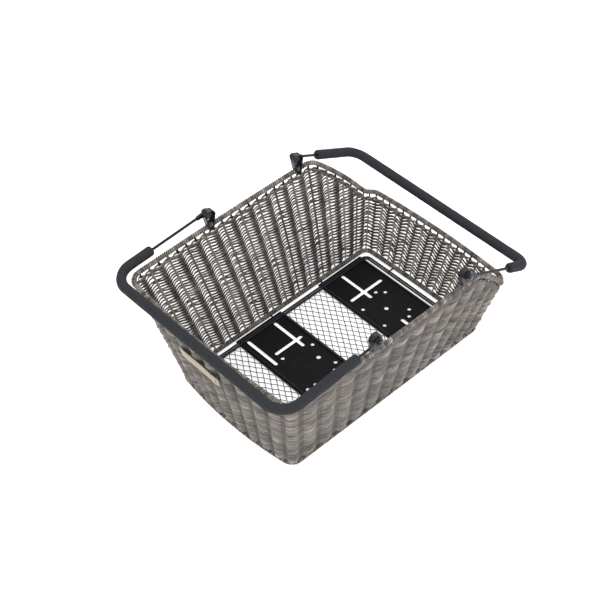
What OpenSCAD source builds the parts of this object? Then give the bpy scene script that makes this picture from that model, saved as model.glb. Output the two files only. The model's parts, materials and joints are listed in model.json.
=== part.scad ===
// Wicker rear-rack basket with two folding bail handles.
// Origin: midway between the two rack-bolt holes in the floor plates, z = 0 at the underside of the
// base ring. +X points to the low end, called the rear here, +Y to the left side, +Z up.
// The rim is level round the tall front end and slopes down each side to the low rear end.

/* [Base] */
// Length of the base ring, centre to centre
base_l = 444; // [430:1:460]
// Width of the base ring, centre to centre
base_w = 282; // [270:1:300]
// Base ring centre from the rack-bolt centre, lengthwise
base_x = -56; // [-60:1:-52]
// Base ring centre from the rack-bolt centre, sideways
base_y = -4; // [-6:1:4]
// Corner radius of the base ring
base_r = 14; // [10:1:20]
// How far the front end of the base ring bows outwards
base_front_bow = 12; // [0:1:16]
// How far the rear end of the base ring bows outwards
base_rear_bow = 2; // [0:1:6]
// Radius of the wrapped base ring
ring_wrap_r = 5; // [4.5:0.5:6]

/* [Rim] */
// Length that the walls would reach at the height of the tall rim
rim_l = 578; // [570:1:586]
// Width of the rim, centre to centre
rim_w = 404; // [400:1:410]
// Height of the rim wire's centre at the front and along the sides
rim_z = 194; // [180:1:210]
// Height of the rim wire's centre at the low rear end
rear_rim_z = 95; // [90:1:110]
// How far the middle of that length sits behind the middle of the base
rim_back = 43; // [36:1:48]
// How far the rim sits to the left of the base
rim_left = 27; // [20:1:28]
// Share of each side, from the rear corner, where the rim starts to climb
climb_start = 0.03; // [0.03:0.01:0.06]
// Share of each side, from the rear corner, where the rim has reached its full height
climb_end = 0.272; // [0.25:0.001:0.3]
// Corner radius of the rim at the front
rim_front_r = 22; // [16:1:30]
// Corner radius of the rear corners, carried up to the height of the tall rim
rim_rear_r = 30; // [24:1:34]
// How far the front end of the rim bows outwards
rim_front_bow = 10; // [0:1:12]
// How far the rear wall bows outwards, carried up to the height of the tall rim
rim_rear_bow = 14; // [0:1:18]
// How far the sides of the rim bow outwards
rim_side_bow = 4; // [0:1:4]
// Radius of the wrapped rim
rim_wrap_r = 5; // [4:0.5:5.5]
// Radius of the wires inside the rim and the base ring
core_r = 3; // [2:0.5:3.5]

/* [Weave] */
// Stakes along each long side
side_stakes = 28; // [24:2:30]
// Stakes along each end
end_stakes = 20; // [16:2:22]
// Width of one stake
stake_w = 4; // [3:0.5:5]
// How much closer the side stakes stand at the rear end of the base than half way along
rear_crowding = 0.2; // [0:0.05:0.3]
// Lowest edge of the woven walls
weave_z0 = 13; // [12:0.5:16]
// Top edge of the woven walls below the rim wire's centre
weave_below_rim = 14; // [14:1:20]
// Thickness of the woven walls
weave_t = 6; // [5:0.5:8]
// How far the weave swings in and out round the stakes
weave_wave = 2.2; // [0:0.1:2.5]
// Twined band below the rim wire's centre
band_below_rim = 10.4; // [10:0.1:10.8]
// Radius of the twined band
band_r = 2.8; // [2:0.1:3]

/* [Floor] */
// Thickness of the rack plates
plate_t = 2; // [1.5:0.5:3]
// Underside of the rack plates
plate_z = 2; // [1:0.5:3]
// Length of each rack plate along the basket
plate_l = 107; // [104:1:110]
// Width of each rack plate across the basket
plate_w = 260; // [250:1:262]
// Middle of the floor frame from the rack-bolt centre, sideways
frame_y = 3; // [-2:1:5]
// Distance between the two rack-bolt holes
bolt_gap = 168; // [168:1:172]
// Radius of the rack-bolt holes
bolt_r = 4.25; // [4:0.25:5]
// Radius of the small clamp holes
clamp_r = 3.5; // [3:0.25:3.5]
// Width of the clamp slots
slot_w = 7; // [5:0.5:7]
// Radius of the floor frame wires
floor_wire_r = 1.75; // [1.5:0.25:2]
// Pitch of the floor mesh across the basket
mesh_pitch_y = 19; // [16:1:24]
// Pitch of the floor mesh along the basket
mesh_pitch_x = 12.5; // [10:0.5:16]
// Width of the strands of the floor mesh
mesh_strand = 1.7; // [1.5:0.1:2.5]
// Thickness of the floor mesh
mesh_t = 1.6; // [1:0.1:2]

/* [Handles] */
// Half of the distance between a handle's arms
arm_y = 212.3; // [212:0.1:213]
// Height of the handle pivots
pivot_z = 220; // [218:1:224]
// Place of the front handle's pivot along the basket
front_pivot_x = -121; // [-125:1:-115]
// Place of the rear handle's pivot along the basket
rear_pivot_x = 85; // [80:1:90]
// Pivot to crossbar, front handle
front_reach = 206.7; // [200:0.1:208]
// Pivot to crossbar, rear handle
rear_reach = 171.3; // [170:0.1:175]
// Slope of the front handle at rest, below level
front_drop = 3.3; // [2:0.1:3.5]
// Slope of the rear handle at rest, below level
rear_drop = 27.5; // [26:0.5:29]
// Radius of the handle wires
handle_wire_r = 2.5; // [2:0.1:2.5]
// Radius of the bends in the front handle
front_bend_r = 38; // [30:1:42]
// Radius of the bends in the rear handle
rear_bend_r = 25; // [20:1:30]
// Outer radius of the foam grips
grip_r = 9; // [8:0.5:9.5]

/* [Hinge brackets] */
// Radius of the round top of a bracket
bracket_r = 11; // [10:0.5:12]
// Thickness of the bracket's cheek plate
cheek_t = 3.2; // [3:0.1:4]
// Depth of the bracket's flange towards the basket
flange_d = 7; // [5:0.5:8]
// Radius of the pivot screws
screw_r = 3; // [2.5:0.5:3]

/* [Name strip] */
// Length of the blank strip
strip_l = 97; // [80:1:110]
// Height of the blank strip
strip_h = 20; // [16:1:24]

/* [Hidden] */

$fn = 48;
overshoot = 1;

// Middle of the walls' reach at the height of the tall rim, from the rack-bolt centre.
rim_x = base_x + rim_back;
rim_y = base_y + rim_left;

// Plan corners in the order rear right, rear left, front left, front right.
CORNER_SIGNS = [[1, -1], [1, 1], [-1, 1], [-1, -1]];
base_corners = [for (s = CORNER_SIGNS) [base_x + s[0] * base_l / 2, base_y + s[1] * base_w / 2]];
rim_corners = [for (s = CORNER_SIGNS) [rim_x + s[0] * rim_l / 2, rim_y + s[1] * rim_w / 2]];
rim_radii = [rim_rear_r, rim_rear_r, rim_front_r, rim_front_r];

// Outward bow of each side at the base and at the height of the tall rim: rear, left, front, right.
base_bows = [base_rear_bow, 0, base_front_bow, 0];
rim_bows = [rim_rear_bow, rim_side_bow, rim_front_bow, rim_side_bow];

// Stake stations are counted from the rear right corner, to the rear left, and so round.
side_start = [
    0, end_stakes, end_stakes + side_stakes, 2 * end_stakes + side_stakes,
    2 * (end_stakes + side_stakes)
];
stake_count = side_start[4];
ring_z = ring_wrap_r;

function mix(a, b, t) = a + (b - a) * t;
function height_share(z) = (z - ring_z) / (rim_z - ring_z);
function corner_at(k, t) = mix(base_corners[k % 4], rim_corners[k % 4], t);
function radius_at(k, t) = mix(base_r, rim_radii[k % 4], t);
function bow_at(k, t) = mix(base_bows[k], rim_bows[k], t);
function side_of(u) = u < side_start[1] ? 0 : u < side_start[2] ? 1 : u < side_start[3] ? 2 : 3;

// Share of side k gone by at station share f; low down, the side stakes crowd towards the rear.
function spread(k, f, t) = f + (k == 1 ? -1 : k == 3 ? 1 : 0) * rear_crowding * (1 - t) * f * (1 - f);

// Plan point at station u, height share t, moved outwards by off.
function plan_point(u, t, off) =
    let (
        w = u - stake_count * floor(u / stake_count),
        k = side_of(w),
        share = spread(k, (w - side_start[k]) / (side_start[k + 1] - side_start[k]), t),
        from = corner_at(k, t),
        to = corner_at(k + 1, t),
        len = norm(to - from),
        along = (to - from) / len,
        out = [along[1], -along[0]],
        gone = share * len,
        left = len - gone,
        r0 = radius_at(k, t),
        r1 = radius_at(k + 1, t),
        bow = out * bow_at(k, t) * 4 * share * (1 - share),
        turn0 = 45 * (1 - gone / r0),
        turn1 = 45 * (1 - left / r1)
    )
    gone < r0 ? from + (along - out) * r0 + (r0 + off) * (out * cos(turn0) - along * sin(turn0)) + bow
    : left < r1 ? to - (along + out) * r1 + (r1 + off) * (out * cos(turn1) + along * sin(turn1)) + bow
    : from + along * gone + out * off + bow;

function wall_point(u, z, off) = concat(plan_point(u, height_share(z), off), [z]);

// Ramp from 0 to 1 with softened ends.
ramp_soft = 0.12;
function ramp(s) =
    s <= -ramp_soft ? 0
    : s < ramp_soft ? pow(s + ramp_soft, 2) / (4 * ramp_soft)
    : s <= 1 - ramp_soft ? s
    : s < 1 + ramp_soft ? 1 - pow(1 + ramp_soft - s, 2) / (4 * ramp_soft)
    : 1;

// Share of a side between station u and the rear corner that the side shares with the rear wall.
function share_from_rear(u) =
    let (w = u - stake_count * floor(u / stake_count), k = side_of(w))
    k == 0 ? 0
    : k == 1 ? (w - side_start[1]) / side_stakes
    : k == 2 ? 1
    : (side_start[4] - w) / side_stakes;

// Height of the rim wire's centre at station u.
function rim_at(u) =
    mix(rear_rim_z, rim_z, ramp((share_from_rear(u) - climb_start) / (climb_end - climb_start)));
function wave_at(u) = weave_wave * cos(180 * u);

// Solid through rings of equal length; a closed one joins its last ring to its first.
// Each ring is an outer run followed by an inner run, so the end caps are strips between them.
module ring_solid(rings, closed) {
    n = len(rings);
    m = len(rings[0]);
    last = closed ? n : n - 1;
    sides = [
        for (i = [0 : last - 1], j = [0 : m - 1])
            let (next = (j + 1) % m, far = ((i + 1) % n) * m, a = i * m + j, b = i * m + next)
                each [[a, b, far + next], [a, far + next, far + j]]
    ];
    caps = closed ? [] : [
        for (j = [0 : m / 2 - 2])
            let (a = j, b = j + 1, c = m - 2 - j, d = m - 1 - j, e = (n - 1) * m)
                each [[a, c, b], [a, d, c], [e + a, e + b, e + c], [e + a, e + c, e + d]]
    ];
    polyhedron(points = [for (ring = rings) each ring], faces = concat(sides, caps));
}

// Stations for a tube's rings: one at each stake, and two more close to each corner.
tube_stations = [
    for (k = [0 : 3]) each [
        side_start[k], side_start[k] + 0.5,
        for (u = [side_start[k] + 1 : side_start[k + 1] - 1]) u,
        side_start[k + 1] - 0.5
    ]
];

function unit(v) = v / norm(v);

// Ring of eight corners round a path point, square to the path, with a flat side down.
function tube_ring(path, out, r) =
    let (
        tube_sides = 8,
        corner_reach = r / cos(180 / tube_sides),
        heading = unit(path[2] - path[0]),
        side = unit(out - heading * (out * heading)),
        up = cross(side, heading)
    )
    [for (j = [0 : tube_sides - 1])
        let (a = 360 * (j + 0.5) / tube_sides)
            path[1] + corner_reach * (cos(a) * side + sin(a) * up)];

function out_at(u, z) = concat(plan_point(u, height_share(z), 1) - plan_point(u, height_share(z), 0), [0]);

// Tube round the base ring.
module base_tube(r) {
    ring_solid([for (u = tube_stations)
        tube_ring([for (step = [-0.3, 0, 0.3]) wall_point(u + step, ring_z, 0)], out_at(u, ring_z), r)], true);
}

// Tube that runs with the rim, some way below it.
module rim_tube(below, r) {
    ring_solid([for (u = tube_stations)
        tube_ring([for (step = [-0.3, 0, 0.3]) wall_point(u + step, rim_at(u + step) - below, 0)],
            out_at(u, rim_at(u) - below), r)], true);
}

// One woven wall, from corner k to the next, waving in and out round every second stake.
module woven_wall(k) {
    levels = 5;
    ring_solid([
        for (u = [side_start[k] : 0.5 : side_start[k + 1]])
            let (
                top = rim_at(u) - weave_below_rim,
                heights = [for (i = [0 : levels]) mix(weave_z0, top, i / levels)]
            )
                concat(
                    [for (z = heights) wall_point(u, z, wave_at(u) + weave_t / 2)],
                    [for (i = [levels : -1 : 0]) wall_point(u, heights[i], wave_at(u) - weave_t / 2)]
                )
    ], false);
}

// One stake, from inside the base wrap to inside the rim wrap.
module stake(i) {
    levels = 4;
    half = stake_w / 2;
    pitch = (base_l + base_w + rim_l + rim_w) / stake_count;
    ring_solid([
        for (n = [0 : levels])
            let (z = mix(ring_z, rim_at(i), n / levels))
                [for (c = [[1, -1], [1, 1], [-1, 1], [-1, -1]])
                    wall_point(i + c[1] * half / pitch, z, c[0] * half)]
    ], false);
}

module base_ring_wire() {
    color("dimgray") base_tube(core_r);
}

module base_ring_wrap() {
    color("#6b6460") difference() {
        base_tube(ring_wrap_r);
        base_tube(core_r);
    }
}

module rim_wire() {
    color("dimgray") rim_tube(0, core_r);
}

module rim_wrap() {
    color("#8a827c") difference() {
        rim_tube(0, rim_wrap_r);
        rim_tube(0, core_r);
    }
}

module stakes() {
    color("#57504b") for (i = [0 : stake_count - 1]) stake(i);
}

module twined_band() {
    color("#7d7674") rim_tube(band_below_rim, band_r);
}

module woven_wall_rear() {
    color("#5f5650") woven_wall(0);
}

module woven_wall_left() {
    color("#6a625d") woven_wall(1);
}

module woven_wall_front() {
    color("#7b736e") woven_wall(2);
}

module woven_wall_right() {
    color("#857c76") woven_wall(3);
}

// Floor: the wires lie on the plates and the mesh, welded where they touch.
weld = 0.05;
frame_z = plate_z + plate_t + floor_wire_r - weld;
frame_gap = 4.6;
frame_inner_y = 115;
frame_inner_x = 208;
frame_x = -60;
frame_corner_r = 8;
plate_centre = [-bolt_gap / 2 - 26.5, bolt_gap / 2 + 6];

module wire_x(x0, x1, y, z, r) {
    translate([x0, y, z]) rotate([0, 90, 0]) cylinder(r = r, h = x1 - x0);
}

module wire_y(x, y0, y1, z, r) {
    translate([x, y0, z]) rotate([-90, 0, 0]) cylinder(r = r, h = y1 - y0);
}

module wire_bend(x, y, from_angle, bend_r, z, r) {
    translate([x, y, z]) rotate([0, 0, from_angle])
        rotate_extrude(angle = 90) translate([bend_r, 0]) circle(r = r);
}

// Rectangle of round wire with rounded corners, centred on the floor.
module wire_frame(half_l, half_w, bend_r) {
    translate([frame_x, frame_y, 0]) {
        for (s = [-1, 1]) {
            wire_x(bend_r - half_l, half_l - bend_r, s * half_w, frame_z, floor_wire_r);
            wire_y(s * half_l, bend_r - half_w, half_w - bend_r, frame_z, floor_wire_r);
        }
        for (q = [0 : 3]) {
            sx = (q == 0 || q == 3) ? 1 : -1;
            sy = q < 2 ? 1 : -1;
            wire_bend(sx * (half_l - bend_r), sy * (half_w - bend_r), 90 * q, bend_r, frame_z, floor_wire_r);
        }
    }
}

module floor_frame_outer() {
    color("#26282c")
        wire_frame(frame_inner_x + frame_gap, frame_inner_y + frame_gap, frame_corner_r + frame_gap);
}

module floor_frame_inner() {
    color("#26282c") wire_frame(frame_inner_x, frame_inner_y, frame_corner_r);
}

module floor_cross_wires() {
    inset = 3;
    color("#26282c") for (c = plate_centre, s = [-1, 1]) {
        x = c + s * (plate_l / 2 - inset);
        wire_y(x, frame_y - frame_inner_y, frame_y + frame_inner_y, frame_z, floor_wire_r);
    }
}

// Short wires that tie the floor frame to the base ring; they end just inside the ring's wire.
module frame_ties() {
    tie_r = 1.5;
    side_tie_x = [-78, 45];
    end_tie_y = [-56, 62];
    stop = core_r - 0.6;
    ring_end_y = base_w / 2 - stop;
    color("#26282c") {
        for (x = side_tie_x) {
            wire_y(x, frame_y + frame_inner_y, base_y + ring_end_y, frame_z, tie_r);
            wire_y(x, base_y - ring_end_y, frame_y - frame_inner_y, frame_z, tie_r);
        }
        for (y = end_tie_y) {
            bow_share = 1 - pow((y - base_y) / (base_w / 2), 2);
            rear_x = base_x + base_l / 2 + base_rear_bow * bow_share - stop;
            front_x = base_x - base_l / 2 - base_front_bow * bow_share + stop;
            wire_x(frame_x + frame_inner_x, rear_x, y, frame_z, tie_r);
            wire_x(front_x, frame_x - frame_inner_x, y, frame_z, tie_r);
        }
    }
}

// Diamond mesh between two lengthwise positions, with a plain strand round its edge.
module floor_mesh(x0, x1) {
    edge = 2.2;
    half_w = frame_inner_y;
    cols = floor((x1 - x0 - 2 * edge) / mesh_pitch_x);
    rows = floor((2 * half_w - 2 * edge) / mesh_pitch_y);
    hole_x = mesh_pitch_x / 2 - mesh_strand * 0.6;
    hole_y = mesh_pitch_y / 2 - mesh_strand;
    mid = [(x0 + x1) / 2, frame_y];
    pitch = [mesh_pitch_x, mesh_pitch_y];
    translate([0, 0, plate_z + plate_t - mesh_t]) linear_extrude(mesh_t) difference() {
        translate([x0, frame_y - half_w]) square([x1 - x0, 2 * half_w]);
        for (last = [[cols - 1, rows - 1], [cols - 2, rows - 2]], i = [0 : last[0]], j = [0 : last[1]])
            translate(mid + [(i - last[0] / 2) * pitch[0], (j - last[1] / 2) * pitch[1]])
                polygon([[hole_x, 0], [0, hole_y], [-hole_x, 0], [0, -hole_y]]);
    }
}

mesh_gap = 0.3;

module floor_mesh_front() {
    color("silver") floor_mesh(frame_x - frame_inner_x, plate_centre[0] - plate_l / 2 - mesh_gap);
}

module floor_mesh_middle() {
    color("silver") floor_mesh(plate_centre[0] + plate_l / 2 + mesh_gap, plate_centre[1] - plate_l / 2 - mesh_gap);
}

// Slot with round ends between two plan points that differ in x or in y only.
module slot_2d(p, q) {
    lo = [min(p[0], q[0]), min(p[1], q[1])];
    size = [abs(p[0] - q[0]), abs(p[1] - q[1])];
    upright = size[0] < size[1];
    for (c = [p, q]) translate(c) circle(r = slot_w / 2);
    half = slot_w / 2;
    translate(lo - (upright ? [half, 0] : [0, half]))
        square(upright ? [slot_w, size[1]] : [size[0], slot_w]);
}

slot_y0 = 41;
slot_y1 = 113;
cross_y = 58;
front_slot_x = -64;
front_clamps = [[13, 29.5], [-47, 42]];
rear_clamps = [[15, 42.5], [27.5, 30.5], [-32, 27.5]];

// One rack plate, with its bolt hole at bolt_x and everything else mirrored side to side.
module rack_plate(centre_x, bolt_x, slot_xs, cross_x0, cross_x1, clamps) {
    color("#1b1d21") translate([0, 0, plate_z]) linear_extrude(plate_t) difference() {
        translate([centre_x - plate_l / 2, -plate_w / 2]) square([plate_l, plate_w]);
        translate([bolt_x, 0]) circle(r = bolt_r);
        for (s = [-1, 1]) {
            for (c = clamps) translate([bolt_x + c[0], s * c[1]]) circle(r = clamp_r);
            for (x = slot_xs) slot_2d([bolt_x + x, s * slot_y0], [bolt_x + x, s * slot_y1]);
            slot_2d([bolt_x + cross_x0, s * cross_y], [bolt_x + cross_x1, s * cross_y]);
        }
    }
}

module rack_plate_front() {
    rack_plate(plate_centre[0], -bolt_gap / 2, [0, front_slot_x], -47, 10, front_clamps);
}

module rack_plate_rear() {
    rack_plate(plate_centre[1], bolt_gap / 2, [0], -30, 42, rear_clamps);
}

// Hinge parts, drawn on one side: x = 0 and z = 0 on the pivot, y outwards from the basket's middle.
cheek_out = 209.2;
cheek_in = cheek_out - cheek_t;
running_gap = 0.06;
axial_gap = 0.3;
eye_t = 2 * (arm_y - cheek_out - axial_gap);
bracket_drop = 33;
foot_w = 10;

module bracket_profile(inset) {
    circle(r = bracket_r - inset);
    polygon([
        [bracket_r - inset, 0], [inset - bracket_r, 0],
        [inset - foot_w / 2, inset - bracket_drop], [foot_w / 2 - inset, inset - bracket_drop]
    ]);
}

module hinge_bracket() {
    wall = 2.2;
    window = [6, 4];
    window_z = -13;
    cut_h = cheek_t + 2 * overshoot;
    difference() {
        translate([0, cheek_out, 0]) rotate([90, 0, 0])
            linear_extrude(cheek_t + flange_d) bracket_profile(0);
        translate([0, cheek_in, 0]) rotate([90, 0, 0])
            linear_extrude(flange_d + overshoot) bracket_profile(wall);
        translate([0, cheek_in - overshoot, 0]) rotate([-90, 0, 0])
            cylinder(r = screw_r + running_gap, h = cut_h);
        translate([-window[0] / 2, cheek_in - overshoot, window_z - window[1] / 2])
            cube([window[0], cut_h, window[1]]);
    }
}

// Places one side's part at a pivot: side +1 is left, -1 is right.
module at_pivot(x, side) {
    translate([x, rim_y, pivot_z]) {
        if (side > 0) children();
        else mirror([0, 1, 0]) children();
    }
}

module rim_passage() {
    rim_tube(0, rim_wrap_r);
}

module placed_bracket(x, side) {
    color("#1f2024") difference() {
        at_pivot(x, side) hinge_bracket();
        rim_passage();
    }
}

module hinge_bracket_front_left() {
    placed_bracket(front_pivot_x, 1);
}

module hinge_bracket_front_right() {
    placed_bracket(front_pivot_x, -1);
}

module hinge_bracket_rear_left() {
    placed_bracket(rear_pivot_x, 1);
}

module hinge_bracket_rear_right() {
    placed_bracket(rear_pivot_x, -1);
}

module at_all_pivots() {
    for (x = [front_pivot_x, rear_pivot_x], side = [-1, 1]) at_pivot(x, side) children();
}

head_h = 3;
head_r = 5;
washer_t = 0.8;
nut_h = 4;
nut_y = cheek_out + axial_gap + eye_t + axial_gap;

module pivot_screws() {
    socket_r = 2;
    socket_depth = 1.8;
    past_nut = 2;
    head_top = cheek_in - washer_t;
    color("#3a3c40") at_all_pivots() rotate([-90, 0, 0]) difference() {
        union() {
            translate([0, 0, head_top - head_h]) cylinder(r = head_r, h = head_h);
            translate([0, 0, head_top - 1]) cylinder(r = screw_r, h = nut_y + nut_h + past_nut - head_top);
        }
        translate([0, 0, head_top - head_h - overshoot])
            cylinder(r = socket_r, h = socket_depth + overshoot, $fn = 6);
    }
}

module pivot_washers() {
    color("#8d9095") at_all_pivots() rotate([-90, 0, 0]) translate([0, 0, cheek_in - washer_t]) difference() {
        cylinder(r = head_r + 1, h = washer_t);
        translate([0, 0, -overshoot]) cylinder(r = screw_r + running_gap, h = washer_t + 2 * overshoot);
    }
}

module pivot_nuts() {
    color("#3a3c40") at_all_pivots() rotate([-90, 0, 0]) translate([0, 0, nut_y]) difference() {
        cylinder(r = head_r, h = nut_h, $fn = 6);
        translate([0, 0, -overshoot]) cylinder(r = screw_r, h = nut_h + 2 * overshoot);
    }
}

// Handles are drawn flat, with the pivot line along Y and the crossbar at +X.
eye_r = 7.5;
neck_l = 21;
neck_t = 4.4;
neck_half = 3.4;

// Eye at the pivot end of an arm, with a flat neck that narrows to the wire.
module handle_eye() {
    rotate([90, 0, 0]) {
        linear_extrude(eye_t, center = true) circle(r = eye_r);
        linear_extrude(neck_t, center = true)
            polygon([[2, eye_r - 2], [neck_l, neck_half], [neck_l, -neck_half], [2, 2 - eye_r]]);
    }
}

module handle_wire(reach, bend_r) {
    straight = reach - bend_r;
    difference() {
        union() {
            for (s = [-1, 1]) {
                translate([0, s * arm_y, 0]) handle_eye();
                wire_x(neck_l - 8, straight, s * arm_y, 0, handle_wire_r);
                mirror([0, s < 0 ? 1 : 0, 0])
                    wire_bend(straight, arm_y - bend_r, 0, bend_r, 0, handle_wire_r);
            }
            wire_y(reach, bend_r - arm_y, arm_y - bend_r, 0, handle_wire_r);
        }
        for (s = [-1, 1]) translate([0, s * arm_y - eye_t, 0])
            rotate([-90, 0, 0]) cylinder(r = screw_r + running_gap, h = 2 * eye_t);
    }
}

// Foam sleeve along the crossbar and part of each arm, from left_x and right_x out to the bends.
module handle_grip(reach, bend_r, left_x, right_x) {
    straight = reach - bend_r;
    half = arm_y - bend_r;
    difference() {
        union() {
            wire_x(left_x, straight, arm_y, 0, grip_r);
            wire_x(right_x, straight, -arm_y, 0, grip_r);
            for (s = [0, 1]) mirror([0, s, 0]) wire_bend(straight, half, 0, bend_r, 0, grip_r);
            wire_y(reach, -half, half, 0, grip_r);
        }
        wire_x(left_x - overshoot, straight, arm_y, 0, handle_wire_r);
        wire_x(right_x - overshoot, straight, -arm_y, 0, handle_wire_r);
        for (s = [0, 1]) mirror([0, s, 0]) wire_bend(straight, half, 0, bend_r, 0, handle_wire_r);
        wire_y(reach, -half, half, 0, handle_wire_r);
    }
}

module front_handle_place() {
    translate([front_pivot_x, rim_y, pivot_z]) rotate([0, -front_drop, 0]) mirror([1, 0, 0]) children();
}

module rear_handle_place() {
    translate([rear_pivot_x, rim_y, pivot_z]) rotate([0, rear_drop, 0]) children();
}

front_grip_left = 121;
front_grip_right = 46;
rear_grip_left = 61;
rear_grip_right = 115;

module handle_front_wire() {
    color("#202226") front_handle_place() handle_wire(front_reach, front_bend_r);
}

module handle_front_grip() {
    color("#35383f") front_handle_place() handle_grip(front_reach, front_bend_r, front_grip_left, front_grip_right);
}

module handle_rear_wire() {
    color("#202226") rear_handle_place() handle_wire(rear_reach, rear_bend_r);
}

module handle_rear_grip() {
    color("#35383f") rear_handle_place() handle_grip(rear_reach, rear_bend_r, rear_grip_left, rear_grip_right);
}

// Blank strip on the outside of the front wall.
strip_y = 36.5;
strip_z = 129;
strip_t = 1.6;
strip_off = weave_t / 2 + weave_wave;
front_stake_pitch = mix(base_w, rim_w, height_share(strip_z)) / end_stakes;
front_mid_y = mix(base_y, rim_y, height_share(strip_z));
strip_u0 = side_start[2] + end_stakes / 2 + (front_mid_y - strip_y - strip_l / 2) / front_stake_pitch;
strip_u1 = strip_u0 + strip_l / front_stake_pitch;

module name_strip() {
    steps = 8;
    lo = strip_z - strip_h / 2;
    hi = strip_z + strip_h / 2;
    color("#cfc9b0") ring_solid([
        for (i = [0 : steps])
            let (u = mix(strip_u0, strip_u1, i / steps))
                [
                    wall_point(u, lo, strip_off + strip_t), wall_point(u, hi, strip_off + strip_t),
                    wall_point(u, hi, strip_off), wall_point(u, lo, strip_off)
                ]
    ], false);
}

module strip_rivets() {
    rivet_l = 10;
    color("#8d9095") for (share = [0.06, 0.94])
        translate(wall_point(mix(strip_u0, strip_u1, share), strip_z, strip_off + strip_t + 0.6))
            rotate([0, 90, 0]) {
                cylinder(r = 2.2, h = 0.6);
                cylinder(r = 1.2, h = rivet_l);
            }
}

base_ring_wire();
base_ring_wrap();
rim_wire();
rim_wrap();
stakes();
twined_band();
woven_wall_rear();
woven_wall_left();
woven_wall_front();
woven_wall_right();
floor_frame_outer();
floor_frame_inner();
floor_cross_wires();
frame_ties();
floor_mesh_front();
floor_mesh_middle();
rack_plate_front();
rack_plate_rear();
hinge_bracket_front_left();
hinge_bracket_front_right();
hinge_bracket_rear_left();
hinge_bracket_rear_right();
pivot_screws();
pivot_washers();
pivot_nuts();
handle_front_wire();
handle_front_grip();
handle_rear_wire();
handle_rear_grip();
name_strip();
strip_rivets();
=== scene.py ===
"""Wicker rear-rack basket: woven strands, wrapped rims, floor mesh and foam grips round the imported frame."""
import json
import math

import bpy
import numpy as np
from mathutils import Matrix, Vector


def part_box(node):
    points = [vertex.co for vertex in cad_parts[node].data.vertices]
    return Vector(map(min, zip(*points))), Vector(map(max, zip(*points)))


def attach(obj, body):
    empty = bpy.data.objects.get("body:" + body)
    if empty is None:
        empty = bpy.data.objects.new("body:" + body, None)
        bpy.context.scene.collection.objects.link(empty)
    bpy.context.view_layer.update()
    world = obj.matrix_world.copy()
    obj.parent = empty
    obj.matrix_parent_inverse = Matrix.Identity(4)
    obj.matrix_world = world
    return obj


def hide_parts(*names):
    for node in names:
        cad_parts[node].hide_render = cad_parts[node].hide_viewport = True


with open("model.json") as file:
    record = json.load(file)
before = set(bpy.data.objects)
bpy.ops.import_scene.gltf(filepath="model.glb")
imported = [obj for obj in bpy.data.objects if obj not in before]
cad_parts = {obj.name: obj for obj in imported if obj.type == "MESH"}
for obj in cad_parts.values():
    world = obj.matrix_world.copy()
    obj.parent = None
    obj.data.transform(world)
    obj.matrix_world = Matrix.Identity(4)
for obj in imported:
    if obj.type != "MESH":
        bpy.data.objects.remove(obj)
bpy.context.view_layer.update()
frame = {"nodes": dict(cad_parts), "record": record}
MM = 0.001

# ---------------------------------------------------------------- shape shared with the CAD, in mm
BASE = dict(length=444, width=282, x=-56, y=-4, radii=(14, 14, 14, 14), bows=(2, 0, 12, 0), z=5)
RIM = dict(length=578, width=404, x=-13, y=23, radii=(30, 30, 22, 22), bows=(14, 4, 10, 4), z=194)
REAR_RIM_Z = 95
CLIMB = (0.03, 0.272)
RAMP_SOFT = 0.12
REAR_CROWDING = 0.2
END_STAKES = 20
SIDE_STAKES = 28
STAKES = 2 * (END_STAKES + SIDE_STAKES)
SIDE_START = np.array([0, END_STAKES, END_STAKES + SIDE_STAKES, 2 * END_STAKES + SIDE_STAKES, STAKES])
SPREAD_SIGN = np.array([0, -1, 0, 1])
WEAVE_FOOT = 10.2
WEAVE_BELOW_RIM = 13.5
BAND_BELOW_RIM = 10.4
PIVOT_Z = 220
HANDLES = {
    "front": dict(x=-121, reach=206.7, bend=38, drop=3.3, sign=-1, left=121, right=46),
    "rear": dict(x=85, reach=171.3, bend=25, drop=27.5, sign=1, left=61, right=115),
}
ARM_Y = 212.3
GRIP_R = 9
HANDLE_WIRE_R = 2.5

RAIL_SAMPLES = 4001
RAIL_STEP = 0.2

CORNER_SIGNS = np.array([[1, -1], [1, 1], [-1, 1], [-1, -1]])


def corners(ring):
    return np.array([ring["x"], ring["y"]]) + CORNER_SIGNS * np.array([ring["length"], ring["width"]]) / 2


BASE_CORNERS = corners(BASE)
RIM_CORNERS = corners(RIM)


def height_share(z):
    return (np.asarray(z, float) - BASE["z"]) / (RIM["z"] - BASE["z"])


def side_and_share(u):
    """Which of the four sides a station lies on, and how far along it."""
    w = np.mod(u, STAKES)
    k = np.clip(np.searchsorted(SIDE_START, w, side="right") - 1, 0, 3)
    return k, (w - SIDE_START[k]) / (SIDE_START[k + 1] - SIDE_START[k])


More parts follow.
